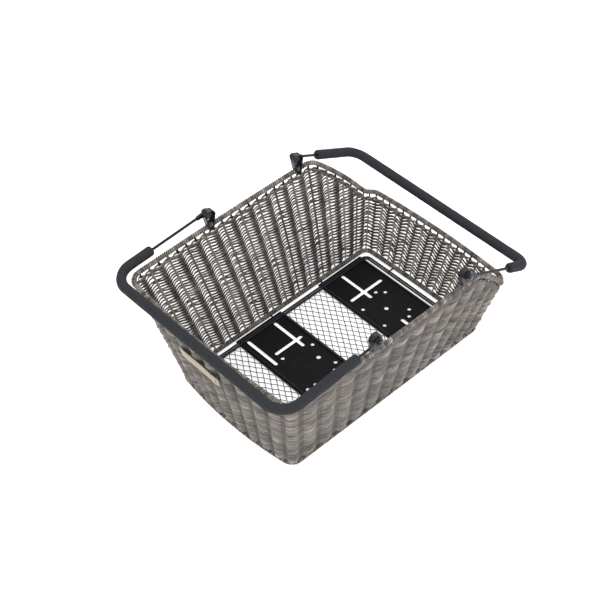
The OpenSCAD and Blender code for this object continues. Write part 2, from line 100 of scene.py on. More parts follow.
def plan_points(u, t, off):
    """Plan points at stations u, height shares t, moved outwards by off; all arrays of one length."""
    u, t, off = np.broadcast_arrays(np.asarray(u, float), np.asarray(t, float), np.asarray(off, float))
    k, share = side_and_share(u)
    share = share + SPREAD_SIGN[k] * REAR_CROWDING * (1 - t) * share * (1 - share)
    k1 = (k + 1) % 4
    tt = t[:, None]
    start = BASE_CORNERS[k] * (1 - tt) + RIM_CORNERS[k] * tt
    end = BASE_CORNERS[k1] * (1 - tt) + RIM_CORNERS[k1] * tt
    length = np.linalg.norm(end - start, axis=1)
    along = (end - start) / length[:, None]
    out = np.stack([along[:, 1], -along[:, 0]], 1)
    base_radii, rim_radii = np.array(BASE["radii"], float), np.array(RIM["radii"], float)
    base_bows, rim_bows = np.array(BASE["bows"], float), np.array(RIM["bows"], float)
    r0 = base_radii[k] * (1 - t) + rim_radii[k] * t
    r1 = base_radii[k1] * (1 - t) + rim_radii[k1] * t
    bow = (base_bows[k] * (1 - t) + rim_bows[k] * t) * 4 * share * (1 - share)
    gone = share * length
    left = length - gone
    turn0 = np.radians(45 * (1 - gone / r0))[:, None]
    turn1 = np.radians(45 * (1 - left / r1))[:, None]
    o, r0, r1 = off[:, None], r0[:, None], r1[:, None]
    first = start + (along - out) * r0 + (r0 + o) * (out * np.cos(turn0) - along * np.sin(turn0))
    last = end - (along + out) * r1 + (r1 + o) * (out * np.cos(turn1) + along * np.sin(turn1))
    middle = start + along * gone[:, None] + out * o
    plan = np.where(gone[:, None] < r0, first, np.where(left[:, None] < r1, last, middle))
    return plan + out * bow[:, None]


def wall_points(u, z, off):
    """Points of the wall at stations u and heights z, moved outwards by off."""
    u, z, off = np.broadcast_arrays(np.asarray(u, float), np.asarray(z, float), np.asarray(off, float))
    return np.column_stack([plan_points(u, height_share(z), off), z])


def rim_at(u):
    """Height of the rim wire's centre at stations u: low at the rear, climbing along the sides."""
    k, share = side_and_share(u)
    from_rear = np.select([k == 0, k == 1, k == 2], [0.0, share, 1.0], 1 - share)
    s = (from_rear - CLIMB[0]) / (CLIMB[1] - CLIMB[0])
    soft = RAMP_SOFT
    rise = np.select(
        [s <= -soft, s < soft, s <= 1 - soft, s < 1 + soft],
        [0.0, (s + soft) ** 2 / (4 * soft), s, 1 - (1 + soft - s) ** 2 / (4 * soft)], 1.0
    )
    return REAR_RIM_Z + (RIM["z"] - REAR_RIM_Z) * rise


def base_at(u):
    """Height of the base ring's centre at stations u."""
    return np.full(np.shape(u), float(BASE["z"]))


def rail(height, count):
    """Evenly spaced points round the basket at height(u): stations, centres, three axes and the girth."""
    fine = np.linspace(0, STAKES, RAIL_SAMPLES)
    path = wall_points(fine, height(fine), 0)
    run = np.concatenate([[0], np.cumsum(np.linalg.norm(np.diff(path, axis=0), axis=1))])
    u = np.interp(np.arange(count) * run[-1] / count, run, fine)
    centre = wall_points(u, height(u), 0)
    after, before = u + RAIL_STEP, u - RAIL_STEP
    ahead = wall_points(after, height(after), 0) - wall_points(before, height(before), 0)
    heading = ahead / np.linalg.norm(ahead, axis=1)[:, None]
    out = wall_points(u, height(u), 1) - centre
    side = out - heading * np.sum(out * heading, axis=1)[:, None]
    side /= np.linalg.norm(side, axis=1)[:, None]
    return u, centre, heading, side, np.cross(side, heading), run[-1]


# ---------------------------------------------------------------- mesh helpers
def smoothstep(low, high, x):
    s = np.clip((x - low) / (high - low), 0, 1)
    return s * s * (3 - 2 * s)


def ring_quads(rings, sides, closed, first=0):
    """Faces between successive rings of points; a closed run joins its last ring to its first."""
    i = np.arange(rings if closed else rings - 1)[:, None]
    j = np.arange(sides)[None, :]
    nxt = (i + 1) % rings
    turn = (j + 1) % sides
    here, there = i * sides, nxt * sides
    faces = np.stack(np.broadcast_arrays(here + j, there + j, there + turn, here + turn), -1)
    return faces.reshape(-1, 4) + first


def new_piece(name, points, faces, material, body, replaces, attributes=None):
    """Mesh object from points in mm; attributes holds one value or one colour for each point."""
    mesh = bpy.data.meshes.new(name)
    mesh.from_pydata((np.asarray(points) * MM).tolist(), [], [list(map(int, f)) for f in faces])
    for key, values in (attributes or {}).items():
        values = np.asarray(values, np.float32)
        if values.ndim == 1:
            mesh.attributes.new(key, "FLOAT", "POINT").data.foreach_set("value", values)
        else:
            rgba = np.column_stack([values, np.ones(len(values))]).astype(np.float32)
            mesh.attributes.new(key, "FLOAT_COLOR", "POINT").data.foreach_set("color", rgba.ravel())
    mesh.update()
    mesh.shade_smooth()
    mesh.materials.append(material)
    obj = bpy.data.objects.new(name, mesh)
    bpy.context.scene.collection.objects.link(obj)
    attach(obj, body)
    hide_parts(*replaces)
    return obj


class Strands:
    """Collects many swept strands, with their colour and run attributes, into one mesh."""

    def __init__(self):
        self.points, self.faces, self.count = [], [], 0
        self.tint, self.run, self.across = [], [], []

    def add(self, rings, tint, run, across, closed):
        """One strand of n sections of m points.

        rings is (n, m, 3) and tint (n, 3) or (n, m, 3). run is (n,): metres along the strand, from a start of
        its own, so that no two strands have the same streaks. across is (m,), from -1 to 1.
        """
        n, m = rings.shape[:2]
        self.points.append(rings.reshape(-1, 3))
        self.faces.append(ring_quads(n, m, closed, self.count))
        if not closed:
            cap = np.arange(m)
            for start, order in ((0, cap[::-1]), ((n - 1) * m, cap)):
                half = m // 2
                quads = [[order[i], order[i + 1], order[-2 - i], order[-1 - i]] for i in range(half - 1)]
                self.faces.append(np.array(quads) + start + self.count)
        self.tint.append(tint.reshape(-1, 3) if tint.ndim == 3 else np.repeat(tint, m, axis=0))
        self.run.append(np.repeat(run, m))
        self.across.append(np.tile(across, n))
        self.count += n * m

    def piece(self, name, material, body, replaces):
        attributes = {
            "tint": np.concatenate(self.tint),
            "run": np.concatenate(self.run),
            "across": np.concatenate(self.across),
        }
        points, faces = np.concatenate(self.points), np.concatenate(self.faces)
        return new_piece(name, points, faces, material, body, replaces, attributes)


def section(sides):
    """Angles of a strand's section, and how far across the strand each one lies, from -1 to 1."""
    angle = (np.arange(sides) + 0.5) * 2 * math.pi / sides
    return angle, np.cos(angle) / np.cos(angle[0])


# ---------------------------------------------------------------- colours and materials
def srgb(text):
    """Linear colour from a six-digit web colour."""
    channels = [int(text[i:i + 2], 16) / 255 for i in (0, 2, 4)]
    return [c / 12.92 if c <= 0.04045 else ((c + 0.055) / 1.055) ** 2.4 for c in channels]


RATTAN_SHADES = ("8d8683", "7c7573", "6c6663", "9b928c", "86826f", "5d5652", "77716d", "94897f")
# The second list is rattan colour in shade; it is used only as painted shade on the odd stakes.
SHADOWED_RATTAN_HEX = ("4b433e", "5a514b", "3d3733", "675f59")
RATTAN = np.array([srgb(c) for c in RATTAN_SHADES])
SHADOWED_RATTAN = np.array([srgb(c) for c in SHADOWED_RATTAN_HEX])

STREAKS_ALONG = 26.0
STREAKS_ACROSS = 2.6
STREAKS_TWIST = 1.3
STREAK_SCALE = 1.6
STREAK_RANGE = (0.32, 0.7)
PATCH_SCALE = 38.0
PATCH_SHADES = (0.82, 1.16)
EDGE_SHARPNESS = 5.0
STRAND_ROUGHNESS = (0.62, 0.42)
STRAND_BUMP = 0.55
STRAND_GROOVE_M = 0.0008
CLOUD_RATIO = 22
GLOSS_SPREAD = 0.07


def material(name, color, roughness, metallic=0.0):
    """New material with its Principled shader set; returns the material, its nodes, links and shader."""
    mat = bpy.data.materials.new(name)
    mat.use_nodes = True
    nodes, links = mat.node_tree.nodes, mat.node_tree.links
    shader = nodes["Principled BSDF"]
    shader.inputs["Base Color"].default_value = (*color, 1)
    shader.inputs["Roughness"].default_value = roughness
    shader.inputs["Metallic"].default_value = metallic
    return mat, nodes, links, shader


def noise(nodes, links, vector, scale, detail=3.0):
    tex = nodes.new("ShaderNodeTexNoise")
    tex.inputs["Scale"].default_value = scale
    tex.inputs["Detail"].default_value = detail
    if vector is not None:
        links.new(vector, tex.inputs["Vector"])
    return tex.outputs["Fac"]


def remap(nodes, links, value, low, high, to_low, to_high):
    node = nodes.new("ShaderNodeMapRange")
    for key, number in (("From Min", low), ("From Max", high), ("To Min", to_low), ("To Max", to_high)):
        node.inputs[key].default_value = number
    links.new(value, node.inputs["Value"])
    return node.outputs["Result"]


def multiply_color(nodes, links, color, factor):
    node = nodes.new("ShaderNodeVectorMath")
    node.operation = "SCALE"
    links.new(color, node.inputs[0])
    links.new(factor, node.inputs["Scale"])
    return node.outputs["Vector"]


def math_node(nodes, links, operation, a, b):
    node = nodes.new("ShaderNodeMath")
    node.operation = operation
    for socket, value in zip(node.inputs, (a, b)):
        if isinstance(value, (int, float)):
            socket.default_value = value
        else:
            links.new(value, socket)
    return node.outputs["Value"]


def bump(nodes, links, shader, height, strength, distance):
    node = nodes.new("ShaderNodeBump")
    node.inputs["Strength"].default_value = strength
    node.inputs["Distance"].default_value = distance
    links.new(height, node.inputs["Height"])
    links.new(node.outputs["Normal"], shader.inputs["Normal"])


def object_vector(nodes):
    return nodes.new("ShaderNodeTexCoord").outputs["Object"]


def strand_material(name, streak, edge_highlight):
    """Synthetic rattan: a colour for each strand, long fine streaks along it, and pale edges that are a
    painted highlight.
    """
    mat, nodes, links, shader = material(name, (0.2, 0.18, 0.17), 0.5)
    tint = nodes.new("ShaderNodeAttribute")
    tint.attribute_name = "tint"
    run = nodes.new("ShaderNodeAttribute")
    run.attribute_name = "run"
    across = nodes.new("ShaderNodeAttribute")
    across.attribute_name = "across"
    where = nodes.new("ShaderNodeCombineXYZ")
    links.new(math_node(nodes, links, "MULTIPLY", run.outputs["Fac"], STREAKS_ALONG), where.inputs["X"])
    links.new(math_node(nodes, links, "MULTIPLY", across.outputs["Fac"], STREAKS_ACROSS), where.inputs["Y"])
    links.new(math_node(nodes, links, "MULTIPLY", run.outputs["Fac"], STREAKS_TWIST), where.inputs["Z"])
    fine = noise(nodes, links, where.outputs["Vector"], STREAK_SCALE, 4.0)
    broad = noise(nodes, links, object_vector(nodes), PATCH_SCALE, 2.0)
    streaks = remap(nodes, links, fine, *STREAK_RANGE, 1 - streak, 1 + streak)
    patches = remap(nodes, links, broad, 0.3, 0.7, *PATCH_SHADES)
    # Painted highlight: the strand's two edges across its width are lightened, as if they caught the light.
    off_middle = math_node(nodes, links, "ABSOLUTE", across.outputs["Fac"], 0.0)
    rim = math_node(nodes, links, "POWER", off_middle, EDGE_SHARPNESS)
    edges = remap(nodes, links, rim, 0.0, 1.0, 1.0, 1.0 + edge_highlight)
    color = multiply_color(nodes, links, tint.outputs["Color"], streaks)
    color = multiply_color(nodes, links, color, patches)
    color = multiply_color(nodes, links, color, edges)
    links.new(color, shader.inputs["Base Color"])
    links.new(remap(nodes, links, fine, 0.3, 0.7, *STRAND_ROUGHNESS), shader.inputs["Roughness"])
    bump(nodes, links, shader, fine, STRAND_BUMP, STRAND_GROOVE_M)
    return mat


def speckled_material(name, color, roughness, metallic, scale, depth, spread, grain=0.0002, gloss=0.5):
    """Paint, foam or plated metal: fine grain in the surface and slight unevenness in colour and gloss."""
    mat, nodes, links, shader = material(name, color, roughness, metallic)
    shader.inputs["Specular IOR Level"].default_value = gloss
    where = object_vector(nodes)
    fine = noise(nodes, links, where, scale, 5.0)
    cloudy = noise(nodes, links, where, scale / CLOUD_RATIO, 3.0)
    base = nodes.new("ShaderNodeCombineXYZ")
    for socket, channel in zip(base.inputs, color):
        socket.default_value = channel
    both = math_node(nodes, links, "ADD", fine, cloudy)
    shade = remap(nodes, links, both, 0.7, 1.3, 1 - spread, 1 + spread)
    links.new(multiply_color(nodes, links, base.outputs["Vector"], shade), shader.inputs["Base Color"])
    gloss_map = remap(nodes, links, cloudy, 0.3, 0.7, roughness - GLOSS_SPREAD, roughness + GLOSS_SPREAD)
    links.new(gloss_map, shader.inputs["Roughness"])
    bump(nodes, links, shader, fine, depth, grain)
    return mat


MATERIALS = {
    "rattan": strand_material("woven_rattan", streak=0.52, edge_highlight=0.6),
    "rattan_wrap": strand_material("wrapped_rattan", streak=0.3, edge_highlight=0.25),
    "rattan_dark": strand_material("stake_rattan", streak=0.35, edge_highlight=0.2),
    "core_wire": speckled_material(
        "core_wire", srgb("26221f"), roughness=0.5, metallic=0.3, scale=900, depth=0.2, spread=0.2
    ),
    "black_wire": speckled_material(
        "black_wire", srgb("15171b"), roughness=0.42, metallic=0.0, scale=1400,
        depth=0.25, spread=0.25, gloss=0.35
    ),
    "black_steel": speckled_material(
        "black_plate", srgb("0a0b0e"), roughness=0.6, metallic=0.0, scale=1600,
        depth=0.3, spread=0.3, gloss=0.16
    ),
    "mesh_wire": speckled_material(
        "mesh_wire", srgb("4c4e54"), roughness=0.5, metallic=0.3, scale=1500, depth=0.2, spread=0.22
    ),
    "bracket_plastic": speckled_material(
        "bracket_black", srgb("1d1e22"), roughness=0.36, metallic=0.0, scale=1300, depth=0.3, spread=0.3
    ),
    "fastener": speckled_material(
        "dark_zinc", srgb("5e6168"), roughness=0.34, metallic=0.85, scale=1200, depth=0.2, spread=0.25
    ),
    "foam_grip": speckled_material(
        "foam_grip", srgb("2c2e32"), roughness=0.85, metallic=0.0, scale=1700, depth=0.5,
        spread=0.16, grain=0.0003, gloss=0.25
    ),
    "strip": speckled_material(
        "cream_strip", srgb("a39a80"), roughness=0.5, metallic=0.0, scale=700, depth=0.25, spread=0.07
    ),
}


def paint_cad_nodes():
    """Gives every carried-over CAD node the material of its slot."""
    for part in frame["record"]["subparts"]:
        obj = frame["nodes"][part["node"]]
        obj.data.materials.clear()
        obj.data.materials.append(MATERIALS[part["material_slot"]])


# ---------------------------------------------------------------- woven walls
WALL_SEED = 217
ROW_PITCH = 4.64
ROWS = 37
SAMPLES_PER_STAKE = 9
STRAND_SIDES = 8
STRAND_T = 2.6
STRAND_W = 5.6
PROUD_WIDTH = 1.8
INSIDE_NARROWING = 0.5
WIDTH_JITTER = 0.5
OUT_SWING = 2.3
IN_SWING = 1.3
SWING_SHARPNESS = 1.1
OUTSIDE_BIAS = 0.25
PROUD_SWING = 0.9
SWING_JITTER = 0.4
HEIGHT_JITTER = 0.5
SLANT = 0.8
DRIFT = 0.5
DRIFT_WAVES = 12
DRIFT_PER_ROW = 0.095
RIPPLE = 0.6
RIPPLE_PER_ROW = 0.8
OUTSIDE_TILT = 19
INSIDE_TILT = -20
REAR_TILT_DROP = 11
REAR_FADE = 3
TURN_OUTWARD = (-0.7, -0.3)
FLOAT_START = -0.5
FLOAT_TOP = 1.2
FLOAT_SHARPNESS = 1.2
STAKE_RUN_M = 0.02
ROW_RUN_M = 7.3

# Colours and shades; a strand's inner and outer face are shaded apart.
NEW_COLOUR_CHANCE = 0.4
COLOUR_STOPS = 11
OTHER_COLOUR_CHANCE = 0.5
STRAND_SHADES = (0.85, 1.15)
PROUD_LIGHTING = 0.3
PROUD_MIDDLE = 0.3
PATCH_ROWS = 4
PATCH_RANGE = (0.5, 1.4)
INNER_SHADE = 0.3
TURN_LIGHT = 1.35
FLOAT_DARKENING = 0.7
EDGE_LIGHT = 1.3
OUTER_SHADE = 0.36
OUTER_PATCH = 0.33
GROOVE_DARKENING = 0.75
FACES_IN = (0.25, -0.35)
TOP_EDGE = (0.55, 0.95)


def strand_colors(rng, stations, palette, start):
    """Colour along a strand: at each stop its own colour or a random one, blended in between."""
    picks = []
    for _ in range(COLOUR_STOPS):
        other = rng.random() < OTHER_COLOUR_CHANCE
        picks.append(rng.choice(len(palette)) if other else start)
    stops = np.linspace(0, STAKES, len(picks) + 1)
    table = palette[np.array(picks + [picks[0]])] * rng.uniform(*STRAND_SHADES)
    return np.stack([np.interp(stations, stops, table[:, c]) for c in range(3)], 1)


def prominence_table(rng):
    """How proud each row stands at each outward bulge: every second to fourth row does, the others don't."""
    bulges = STAKES // 2
    table = np.zeros((ROWS, bulges))
    for b in range(bulges):
        row = int(rng.integers(0, 3))
        while row < ROWS:
            table[row, b] = rng.uniform(0.6, 1.0)
            row += int(rng.choice([2, 2, 3, 3, 4]))
    return table


def row_stations(z):
    """Stations of one row, and whether it closes: right round low down, and only under the rim higher up."""
    v = np.arange(STAKES * SAMPLES_PER_STAKE) / SAMPLES_PER_STAKE
    under = rim_at(v) - WEAVE_BELOW_RIM + 1 > z
    if under.all():
        return v, True
    inside = np.nonzero(under)[0]
    return v[inside[0]:inside[-1] + 1], False


def patch_table(seed):
    return np.random.default_rng(seed).uniform(*PATCH_RANGE, (ROWS // PATCH_ROWS + 3, STAKES // 2))


def patchiness(table, v, row):
    """Slow drift of light and dark from float to float and from row to row."""
    level = row / PATCH_ROWS
    low = int(level)
    bulge = np.round((v + 1) / 2).astype(int) % (STAKES // 2)
    return table[low, bulge] * (1 - level + low) + table[low + 1, bulge] * (level - low)


def row_swing(phase, window, stands, jitter):
    """How far the strand's middle lies outside the ring of stakes; it turns sharply and stays out longer."""
    bend = np.tanh(SWING_SHARPNESS * (phase + OUTSIDE_BIAS))
    far_out = math.tanh(SWING_SHARPNESS * (1 + OUTSIDE_BIAS))
    far_in = math.tanh(SWING_SHARPNESS * (1 - OUTSIDE_BIAS))
    swing = np.where(bend > 0, OUT_SWING / far_out, IN_SWING / far_in) * bend
    return swing + window * (SWING_JITTER * jitter) + PROUD_SWING * stands


def row_drift(v, row):
    """Slow rise and fall of a row, moved on a little from each row to the next."""
    wave = np.sin(2 * math.pi * (DRIFT_WAVES * v / STAKES + DRIFT_PER_ROW * row))
    return DRIFT * (wave + RIPPLE * np.sin(math.pi * v / 2 + RIPPLE_PER_ROW * row))


def row_tilt(v, outward):
    """Lean of the strand's section: one way outside, the other way inside, and less at the low rear end."""
    from_rear_middle = np.abs(np.mod(v - END_STAKES / 2 + STAKES / 2, STAKES) - STAKES / 2)
    at_rear = smoothstep(END_STAKES / 2 + REAR_FADE, END_STAKES / 2 - REAR_FADE, from_rear_middle)
    outside_tilt = OUTSIDE_TILT - REAR_TILT_DROP * at_rear
    return np.radians(INSIDE_TILT + (outside_tilt - INSIDE_TILT) * outward)


def row_shade(angle, outward, patch):
    """Shade round the strand's section: dark inside with lit top edges, and dark grooves outside."""
    faces_in = smoothstep(*FACES_IN, np.sin(angle))[None, :]
    top_edge = smoothstep(*TOP_EDGE, np.cos(angle))[None, :]
    float_zone = (1 - outward)[:, None]
    patch = patch[:, None]
    inside = INNER_SHADE * (TURN_LIGHT - FLOAT_DARKENING * float_zone) * patch
    inside = inside * (1 + EDGE_LIGHT * top_edge * float_zone)
    groove = (1 - GROOVE_DARKENING * top_edge) * (OUTER_SHADE + OUTER_PATCH * patch)
    return faces_in * inside + (1 - faces_in) * groove


def weave_walls():
    rng = np.random.default_rng(WALL_SEED)
    angle, across = section(STRAND_SIDES)
    proud = prominence_table(rng)
    patches = patch_table(int(rng.integers(1, 9999)))
    course = Strands()
    base_pick = 0
    for row in range(ROWS):
        if row % 2 == 0 or rng.random() < NEW_COLOUR_CHANCE:
            base_pick = int(rng.integers(0, len(RATTAN)))
        mid_z = WEAVE_FOOT + (row + 0.5) * ROW_PITCH
        jitter = rng.uniform(-1, 1, (3, STAKES // 2))
        v, closed = row_stations(mid_z)
        bulge = np.round(v / 2).astype(int) % (STAKES // 2)
        swing_jitter, height_jitter, width_jitter = jitter[:, bulge]
        phase = np.cos(math.pi * v)
        outward = smoothstep(*TURN_OUTWARD, phase)
        window = np.clip(phase - FLOAT_START, 0, FLOAT_TOP) ** FLOAT_SHARPNESS
        stands = proud[row, bulge] * window
        swing = row_swing(phase, window, stands, swing_jitter)
        slant = SLANT * np.sin(math.pi * v)
        z = mid_z + outward * (HEIGHT_JITTER * height_jitter * window + row_drift(v, row) + slant)
        width = STRAND_W + PROUD_WIDTH * stands - INSIDE_NARROWING * (1 - outward)
        width = width + WIDTH_JITTER * window * width_jitter
        tilt = row_tilt(v, outward)
        reach = 0.5 * width[:, None] * np.cos(angle)[None, :]
        thick = 0.5 * STRAND_T * np.sin(angle)[None, :]
        off = swing[:, None] - reach * np.sin(tilt)[:, None] + thick * np.cos(tilt)[:, None]
        up = reach * np.cos(tilt)[:, None] + thick * np.sin(tilt)[:, None]
        share = np.repeat(height_share(z), STRAND_SIDES)
        plan = plan_points(np.repeat(v, STRAND_SIDES), share, off.ravel())
        rings = np.column_stack([plan, (z[:, None] + up).ravel()]).reshape(len(v), STRAND_SIDES, 3)
        # Painted light and shade: strands that stand proud are lightened and the sunk ones darkened, as if lit
        # from outside.
        color = strand_colors(rng, v, RATTAN, base_pick) * (1 + PROUD_LIGHTING * (stands - PROUD_MIDDLE)[:, None])
        shade = row_shade(angle, outward, patchiness(patches, v, row))
        run = v * STAKE_RUN_M + row * ROW_RUN_M
        course.add(rings, color[:, None, :] * shade[:, :, None], run, across, closed)
    walls = ("woven_wall_rear", "woven_wall_left", "woven_wall_front", "woven_wall_right")
    course.piece("woven_strands", MATERIALS["rattan"], "basket", walls)


STAKE_SEED = 31
STAKE_SIDES = 8
STAKE_RINGS = 14
STAKE_END = 1
STAKE_HALF_W = 2.1
STAKE_GAP = 18
EVEN_STAKE_HALF_T = 1.3
ODD_STAKE_HALF_T = 0.8
EVEN_STAKE_SHADES = (0.6, 0.8)
ODD_STAKE_PAINTED_SHADE = (0.45, 0.6)
ONE_STAKE_RUN_M = 3.1


def stake_rods():
    """Upright rods; the odd ones are thinner and sunk inwards, so that the strands hide them, and painted
    darker as shade in the grooves they sit in.
    """
    rng = np.random.default_rng(STAKE_SEED)
    angle, across = section(STAKE_SIDES)
    rods = Strands()
    for stake in range(STAKES):
        z = np.linspace(BASE["z"] + STAKE_END, float(rim_at(np.array(stake))) - STAKE_END, STAKE_RINGS)
        odd = stake % 2 == 1
        half_t, sunk = (ODD_STAKE_HALF_T, IN_SWING) if odd else (EVEN_STAKE_HALF_T, 0)
        off = np.tile(half_t * np.sin(angle) - sunk, len(z))
        along = np.tile(STAKE_HALF_W * np.cos(angle) / STAKE_GAP, len(z))
        plan = plan_points(stake + along, np.repeat(height_share(z), STAKE_SIDES), off)
        rings = np.column_stack([plan, np.repeat(z, STAKE_SIDES)]).reshape(len(z), STAKE_SIDES, 3)
        # Odd stakes take the shadowed rattan colours, dimmed further: painted shade in the grooves between
        # bulges.
        palette, shades = (SHADOWED_RATTAN, ODD_STAKE_PAINTED_SHADE) if odd else (RATTAN, EVEN_STAKE_SHADES)
        color = palette[rng.integers(0, len(palette))] * rng.uniform(*shades)
        rods.add(rings, np.tile(color, (len(z), 1)), z * MM + stake * ONE_STAKE_RUN_M, across, False)
    rods.piece("stake_rods", MATERIALS["rattan_dark"], "basket", ("stakes",))


TWINE_SEED = 77
TWINE_SIDES = 8
TWINE_SAMPLES = 10
TWINE_SWING = 2.7
TWINE_LIFT = 2.0
TWINE_HALF_T = 1.0
TWINE_HALF_W = 2.6
TWINE_SHADE = 0.6
TWINE_RUN_M = 5.0


def twined_strands():
    """Two flat strands that turn round each other, half a turn for each stake, just below the rim."""
    rng = np.random.default_rng(TWINE_SEED)
    angle, across = section(TWINE_SIDES)
    band = Strands()
    u, centre, _, side, up, _ = rail(lambda w: rim_at(w) - BAND_BELOW_RIM, STAKES * TWINE_SAMPLES)
    for k in (0, 1):
        turn = math.pi * (u + k)
        out = (TWINE_SWING * np.cos(turn))[:, None] + TWINE_HALF_T * np.sin(angle)[None, :]
        lift = (TWINE_LIFT * np.sin(turn))[:, None] + TWINE_HALF_W * np.cos(angle)[None, :]
        rings = centre[:, None] + side[:, None] * out[:, :, None] + up[:, None] * lift[:, :, None]
        tint = strand_colors(rng, u, RATTAN, int(rng.integers(0, len(RATTAN)))) * TWINE_SHADE
        band.add(rings, tint, u * STAKE_RUN_M + k * TWINE_RUN_M, across, True)
    band.piece("twined_strands", MATERIALS["rattan"], "basket", ("twined_band",))


RIM_WRAP_R = (3.0, 5.0)
BASE_WRAP_R = (3.0, 4.9)
WIND_SIDES = 6
WIND_SAMPLES = 14
WIND_SHADES = (0.4, 1.3)
WIND_HALF_W = 0.38
WIND_WOBBLE = 0.05
WIND_SINK = 0.1
WIND_THICKNESS = 0.95
TURN_RUN_M = 0.03


def wound_strip(name, node, height, radii, turn_mm, seed, shade):
    """Strip of rattan wound round a ring wire, turn by turn, with uneven turns and dark gaps."""
    rng = np.random.default_rng(seed)
    inner_r, outer_r = radii
    girth = rail(height, 8)[5]
    turns = int(girth / turn_mm)
    count = turns * WIND_SAMPLES
    _, centre, heading, side, up, _ = rail(height, count)
    turn_of = np.arange(count) / WIND_SAMPLES
    whole = np.floor(turn_of).astype(int)
    part = (turn_of - whole)[:, None]

    def blend(values):
        return values[whole] * (1 - part) + values[(whole + 1) % turns] * part

    wobble = blend(rng.uniform(-1, 1, turns)[:, None])[:, 0]
    color = RATTAN[rng.integers(0, len(RATTAN), turns)] * rng.uniform(*WIND_SHADES, (turns, 1)) * shade
    angle, across = section(WIND_SIDES)
    half_t = (outer_r - inner_r) / 2
    mid_r = inner_r + half_t - WIND_SINK * half_t * (1 + wobble)
    half_w = turn_mm * (WIND_HALF_W + WIND_WOBBLE * wobble)
    turn = 2 * math.pi * turn_of
    radial = mid_r[:, None] + WIND_THICKNESS * half_t * np.sin(angle)[None, :]
    shift = half_w[:, None] * np.cos(angle)[None, :]
    rings = (
        centre[:, None] + heading[:, None] * shift[:, :, None]
        + side[:, None] * (radial * np.cos(turn)[:, None])[:, :, None]
        + up[:, None] * (radial * np.sin(turn)[:, None])[:, :, None]
    )
    coil = Strands()
    coil.add(rings, blend(color), turn_of * TURN_RUN_M, across, True)
    coil.piece(name, MATERIALS["rattan_wrap"], "basket", (node,))


# ---------------------------------------------------------------- floor mesh
MESH_PITCH = (12.5, 19.0)
MESH_WIRE_R = 0.7
MESH_SIDES = 6
MESH_WAVE = 0.45
MESH_UNEVEN = 0.04
SHORTEST_WIRE = 4
EDGE_WIRE_R = 1.1
EDGE_INSET = 1
EDGE_RINGS = 12
MESH_TINT = np.array(srgb("84868b"))


def mesh_panel(name, node, seed):
    """Two crossing layers of thin wires, waved over and under each other, inside the node's box."""
    low, high = (np.array(c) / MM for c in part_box(node))
    mid_z = (low[2] + high[2]) / 2
    angle = np.arange(MESH_SIDES) * 2 * math.pi / MESH_SIDES
    step = np.array(MESH_PITCH) / 2
    cell = np.linalg.norm(step)
    panel = Strands()
    rng = np.random.default_rng(seed)
    centre = (low[:2] + high[:2]) / 2
    size = high[:2] - low[:2]
    lines = int((size[0] / MESH_PITCH[0] + size[1] / MESH_PITCH[1]) / 2) + 2
    for way in (1, -1):
        heading = np.array([way * step[0], step[1]]) / cell
        side = np.array([heading[1], -heading[0]])
        for i in range(-lines, lines + 1):
            origin = centre + np.array([i * MESH_PITCH[0], 0])
            reach = []
            for axis in (0, 1):
                a = (low[axis] - origin[axis]) / heading[axis]
                b = (high[axis] - origin[axis]) / heading[axis]
                reach.append((min(a, b), max(a, b)))
            start = max(r[0] for r in reach)
            stop = min(r[1] for r in reach)
            if stop - start < SHORTEST_WIRE:
                continue
            d = np.linspace(start, stop, max(3, int((stop - start) / (cell / 4))))
            over = MESH_WAVE * way * np.cos(math.pi * (d / cell + i))
            path = origin + heading * d[:, None]
            wire = MESH_WIRE_R * (1 + MESH_UNEVEN * rng.uniform(-1, 1))
            flat = path[:, None, :] + side * (wire * np.cos(angle))[None, :, None]
            up = (mid_z + over)[:, None] + wire * np.sin(angle)[None, :]
            rings = np.concatenate([flat, up[:, :, None]], 2)
            panel.add(rings, np.tile(MESH_TINT, (len(d), 1)), d * MM, np.cos(angle), False)
    for axis in (0, 1):
        for level in (low[axis] + EDGE_INSET, high[axis] - EDGE_INSET):
            d = np.linspace(low[1 - axis] + EDGE_INSET, high[1 - axis] - EDGE_INSET, EDGE_RINGS)
            path = np.zeros((len(d), 3))
            path[:, axis] = level
            path[:, 1 - axis] = d
            path[:, 2] = mid_z
            rings = np.repeat(path[:, None, :], MESH_SIDES, axis=1)
            rings[:, :, axis] += np.cos(angle) * EDGE_WIRE_R
            rings[:, :, 2] += np.sin(angle) * EDGE_WIRE_R
            panel.add(rings, np.tile(MESH_TINT, (len(d), 1)), d * MM, np.cos(angle), False)
    panel.piece(name, MATERIALS["mesh_wire"], "basket", (node,))


# ---------------------------------------------------------------- foam grips
GRIP_STEP = 4.0
GRIP_BEND_RINGS = 13
GRIP_BAR_RINGS = 70
GRIP_SIDES = 28
GRIP_NOSE = 4.0
GRIP_NOSE_RINGS = 6
GRIP_ROUNDING = 2.8
GRIP_WAVE = 0.06
GRIP_WAVE_LENGTH = 7.0
BORE_PLAY = 0.1
BORE_DEPTH = 4
BEND_MIDDLE = 0.29
CREASE_REACH = 9
CREASE_DEPTH = 0.25
WRINKLE_LENGTH = 1.6


def grip_path(spec):
    """Centre line of a grip in the handle's own plane: X from the pivot line, Y across."""
    bend_r = spec["bend"]
    straight = spec["reach"] - bend_r
    half = ARM_Y - bend_r
    bend = np.radians(np.linspace(0, 90, GRIP_BEND_RINGS))
    left_x = np.arange(spec["left"], straight, GRIP_STEP)
    right_x = np.arange(spec["right"], straight, GRIP_STEP)
    left = np.column_stack([left_x, np.full(len(left_x), ARM_Y)])
    left_bend = np.column_stack([straight + bend_r * np.sin(bend), half + bend_r * np.cos(bend)])
    bar_y = np.linspace(half, -half, GRIP_BAR_RINGS)[1:-1]
    bar = np.column_stack([np.full(len(bar_y), spec["reach"]), bar_y])
    right_bend = left_bend[::-1] * [1, -1]
    right = np.column_stack([right_x, np.full(len(right_x), -ARM_Y)])[::-1]
    return np.concatenate([left, left_bend, bar, right_bend, right])


